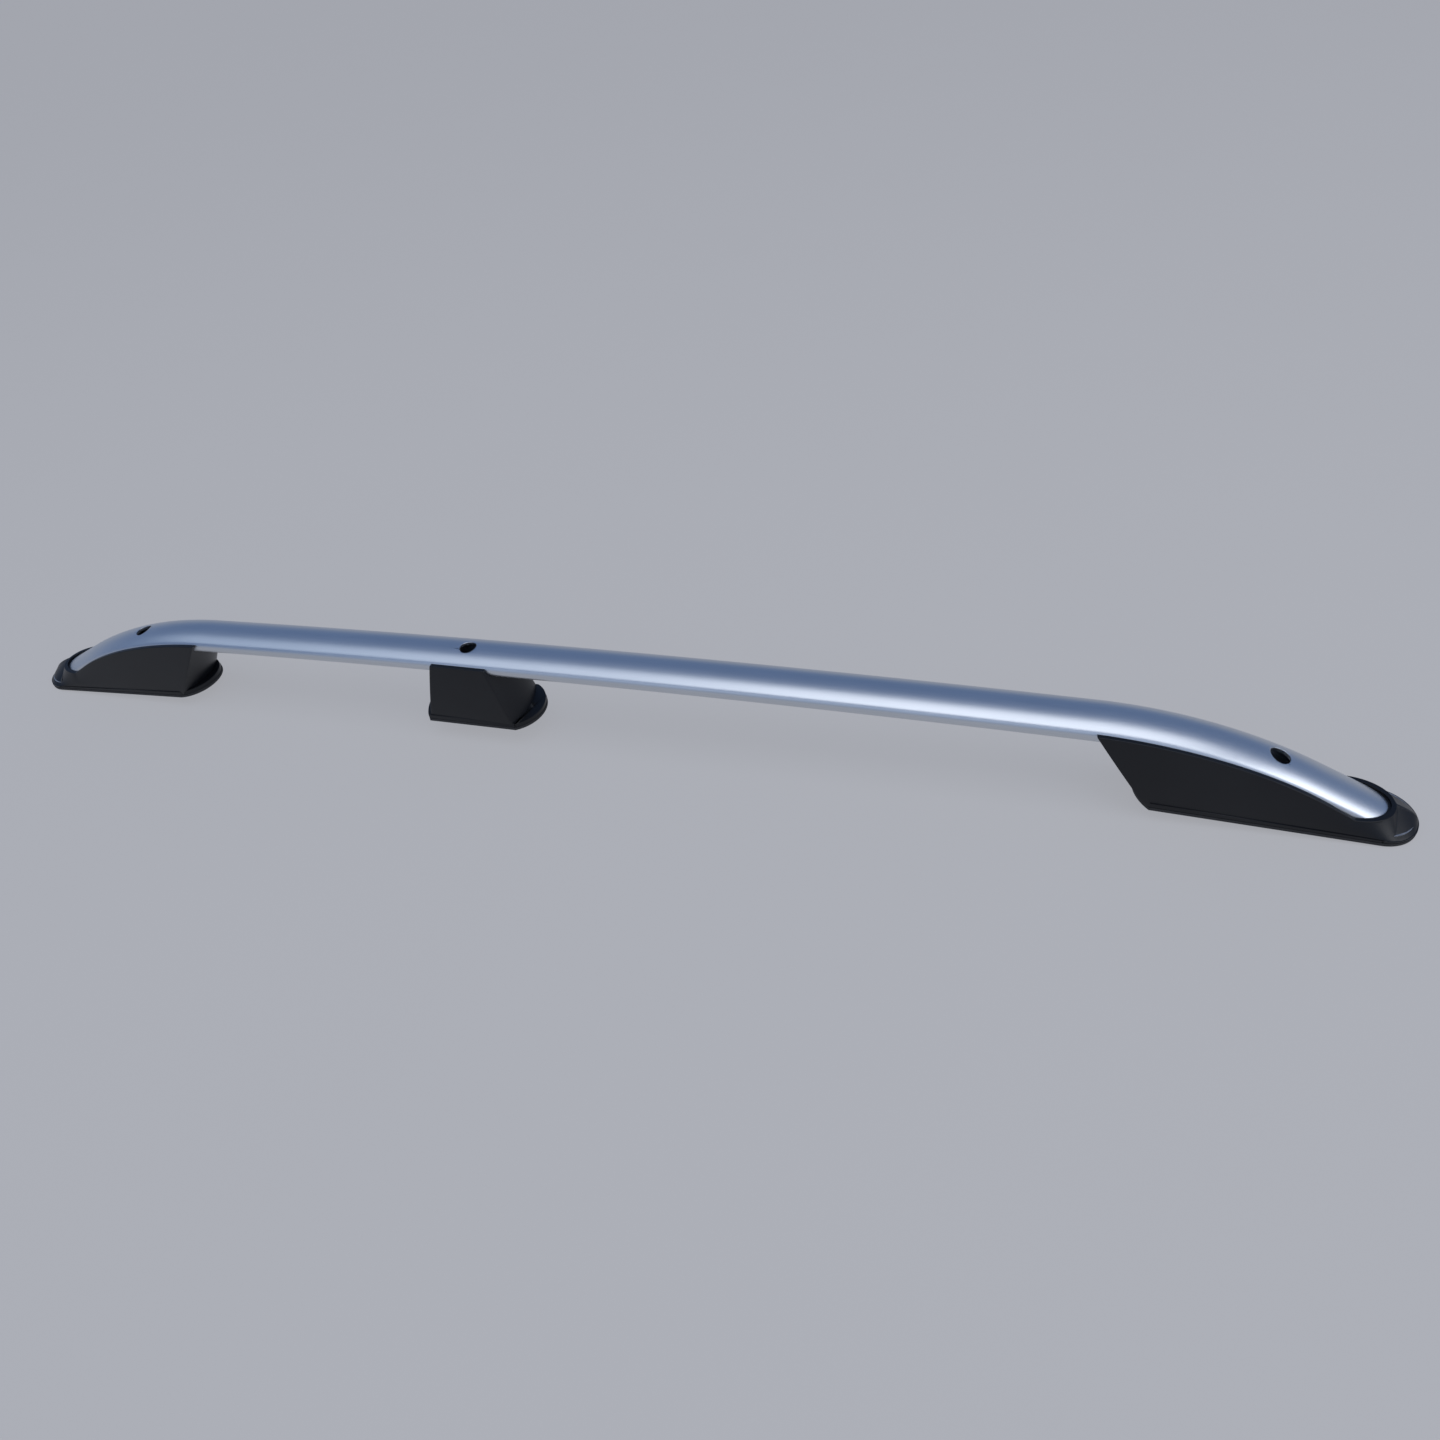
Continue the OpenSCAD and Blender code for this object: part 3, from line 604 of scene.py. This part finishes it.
for name in toes:
    flank_x = stretch(name)[0]
    cover = lofted(name + "_end_cover", end_rows(name), foot_len)
    apply_modifier("BEVEL", width=edge_round, segments=3, limit_method="ANGLE", angle_limit=bevel_turn)
    cut_by(cover, tube_cutter(name))
    bpy.ops.object.select_all(action="DESELECT")
    bpy.ops.mesh.primitive_cylinder_add(vertices=96, radius=1.0, depth=pocket_h)
    pocket = bpy.context.object
    pocket.data.transform(Matrix.Translation((flank_x - pocket_back, 0, end_cut[name] + pocket_mid))
                          @ Matrix.Diagonal((tongue + pocket_long, tube_w / 2 + pocket_wide, 1, 1)))
    cut_by(cover, pocket)
    core = lofted("core", core_rows(name), foot_len)
    bpy.ops.object.mode_set(mode="EDIT")
    bpy.ops.mesh.select_all(action="SELECT")
    bpy.ops.mesh.bisect(plane_co=(cover_wall / cos(end_slant), 0, 0),
                        plane_no=(cos(end_slant), 0, sin(end_slant)), clear_inner=True, use_fill=True)
    bpy.ops.object.mode_set(mode="OBJECT")
    core_copy = core.copy()
    core_copy.data = core.data.copy()
    bpy.context.scene.collection.objects.link(core_copy)
    cut_by(cover, core)
    bpy.ops.object.shade_smooth_by_angle(angle=smooth_turn)
    rim = rim_ring(name + "_rim", end_outline(name), lambda x: low_at(name, x))
    cut_by(rim, core_copy)
    pick(cover)
    rim.select_set(True)
    bpy.ops.object.join()
    cover.data.transform(foot_frame(name))
    if name == "rear":
        cover.data.flip_normals()
    cover.data.materials.clear()
    cover.data.materials.append(black)
    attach(cover, "root")
    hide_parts(name + "_cover")

# --- middle cover -----------------------------------------------------------------
# The same black moulding for the short middle foot: two leaning end faces that run out
# onto the base, the same lips round the tube and the same hollow from below.
mid_lean = radians(15.5)
mid_ends = {1: 0.020, -1: 0.010}
mid_axis = axis_at(mid_x)[0] - mid_base
face_top, core_half = mid_axis + 0.02, 0.09

far, near = [wall_line(body_half, lip_half, rim_h, mid_axis + lip_h - drop, wall_bend)
             for drop in (far_drop, 0)]
section = ring(far, near)
faces = {way: end_face(way, mid_len / 2, toe * face_share, -face_top * tan(mid_lean), face_top)
         for way, toe in mid_ends.items()}
rows = face_cap(faces[-1], section)
for k in range(25):
    rows.append([(faces[-1](y, z) * (1 - k / 24) + faces[1](y, z) * k / 24, y, z) for y, z in section])
rows += reversed(face_cap(faces[1], section))
wall = [(body_half - cover_wall - (body_half - lip_half) * (j / 5) ** wall_bend,
         rim_h + core_step + (mid_axis - core_drop - rim_h - core_step) * j / 5) for j in range(6)]
inner = core_section(wall[0][0], wall)
core_lines = [[(core_half * (k / 10 - 1), y, z) for y, z in inner] for k in range(21)]
cover = lofted("middle_foot_cover", rows, mid_len)
apply_modifier("BEVEL", width=edge_round, segments=3, limit_method="ANGLE", angle_limit=bevel_turn)
run = half_run("run", seat_gap)
bpy.ops.object.mode_set(mode="EDIT")
bpy.ops.mesh.fill_holes(sides=0)
bpy.ops.object.mode_set(mode="OBJECT")
run.data.transform(Matrix.Diagonal((-1, 1, 1, 1)))
run.data.flip_normals()
run.data.transform(foot_frame("middle").inverted())
cut_by(cover, run)
core = lofted("core", core_lines, mid_len)
bpy.ops.object.mode_set(mode="EDIT")
for way in mid_ends:
    bpy.ops.mesh.select_all(action="SELECT")
    bpy.ops.mesh.bisect(plane_co=(way * (mid_len / 2 - cover_wall / cos(mid_lean)), 0, 0),
                        plane_no=(way * cos(mid_lean), 0, sin(mid_lean)), clear_outer=True, use_fill=True)
bpy.ops.object.mode_set(mode="OBJECT")
core_copy = core.copy()
core_copy.data = core.data.copy()
bpy.context.scene.collection.objects.link(core_copy)
cut_by(cover, core)
bpy.ops.object.shade_smooth_by_angle(angle=smooth_turn)
plan = [(mid_len / 2 + bulge, side) for bulge, side in arc_line(mid_ends[1], foot_half)]
plan += [(-mid_len / 2 - bulge, -side) for bulge, side in arc_line(mid_ends[-1], foot_half)]
rim = rim_ring("middle_rim", plan, lambda x: rim_h)
cut_by(rim, core_copy)
pick(cover)
rim.select_set(True)
bpy.ops.object.join()
cover.data.transform(foot_frame("middle"))
cover.data.materials.clear()
cover.data.materials.append(black)
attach(cover, "root")
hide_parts("middle_cover")

# --- inside the feet ---------------------------------------------------------------
# The parts that the covers hide: a cast aluminium bracket in each foot, the steel
# sleeve that the roof bolt goes through, zinc plated screws, and the rubber of the
# bolt's seal and of the gasket that the foot's rim presses on the roof.
def metal_finish(name, dark, light, rough, fine, bumps):
    """A grey metal, mottled and pitted at one scale."""
    finish, wire = new_finish(name)
    place = wire.node("TexCoord", out=3)
    spots = wire.node("TexNoise", values={"Vector": place, "Scale": fine, "Detail": 4.0})
    grey = wire.node("ValToRGB", {"stops": [(0.35, (*dark, 1)), (0.65, (*light, 1))]}, {"Fac": spots})
    pits = wire.node("Bump", values={"Height": spots, "Strength": bumps, "Distance": 0.0003})
    metal = wire.node("BsdfPrincipled", values={"Base Color": grey, "Metallic": 1.0, "Normal": pits,
                                                "Roughness": spots * 0.15 + rough})
    wire.node("OutputMaterial", values={"Surface": metal})
    return finish


def rubber_finish(name, dark, light, fine):
    """A dull black rubber with a fine cloudy bloom."""
    finish, wire = new_finish(name)
    place = wire.node("TexCoord", out=3)
    bloom = wire.node("TexNoise", values={"Vector": place, "Scale": fine, "Detail": 3.0})
    soot = wire.node("ValToRGB", {"stops": [(0.3, (*dark, 1)), (0.7, (*light, 1))]}, {"Fac": bloom})
    skin = wire.node("Bump", values={"Height": bloom, "Strength": 0.2, "Distance": 0.0002})
    rubber = wire.node("BsdfPrincipled", values={"Base Color": soot, "Roughness": bloom * 0.1 + 0.7,
                                                 "Normal": skin})
    wire.node("OutputMaterial", values={"Surface": rubber})
    return finish


inner_finishes = {
    "cast_bracket": metal_finish("cast_aluminium", (0.36, 0.36, 0.37), (0.46, 0.46, 0.47), 0.45, 260.0, 0.5),
    "steel_sleeve": metal_finish("zinc_plated_sleeve", (0.42, 0.43, 0.45), (0.56, 0.57, 0.58),
                                 0.25, 500.0, 0.1),
    "steel_screw": metal_finish("zinc_plated_screw", (0.40, 0.41, 0.42), (0.52, 0.53, 0.55),
                                0.28, 900.0, 0.1),
    "bolt_seal": rubber_finish("seal_rubber", (0.020, 0.020, 0.021), (0.034, 0.034, 0.036), 400.0),
    "base_gasket": rubber_finish("gasket_rubber", (0.012, 0.012, 0.013), (0.022, 0.022, 0.024), 220.0),
}
for part in frame["record"]["subparts"]:
    if part["material_slot"] in inner_finishes:
        held = frame["nodes"][part["node"]]
        for kept in held if isinstance(held, (list, tuple)) else [held]:
            kept.data.materials.clear()
            kept.data.materials.append(inner_finishes[part["material_slot"]])
